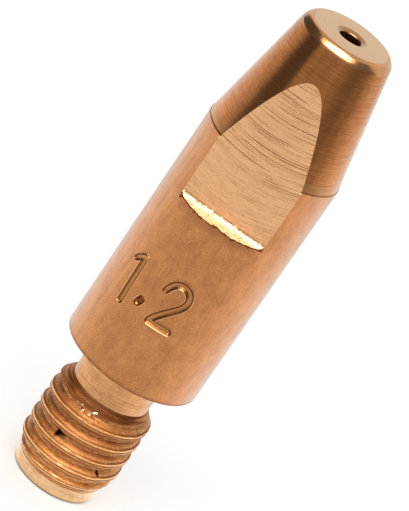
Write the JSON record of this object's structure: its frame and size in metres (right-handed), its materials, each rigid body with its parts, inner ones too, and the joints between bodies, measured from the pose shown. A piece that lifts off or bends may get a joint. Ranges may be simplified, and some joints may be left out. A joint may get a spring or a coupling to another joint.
{
  "type": "welding contact tip",
  "caption": "Turned copper contact tip for a wire welding torch, with a tapered nose, a through wire bore, two wrench flats and a threaded shank.",
  "frame": {"origin": "centre of the tail face, on the axis of the wire bore", "axes": "+Z along the axis from the tail to the nose; the wrench flats face -Y and +Y; +X runs across the flats' width"},
  "size_m": [0.008, 0.008, 0.0305],
  "materials": {
    "copper": "satin turned copper, bare metal"
  },
  "bodies": {
    "root": {"contact_tip": "copper"}
  },
  "joints": []
}
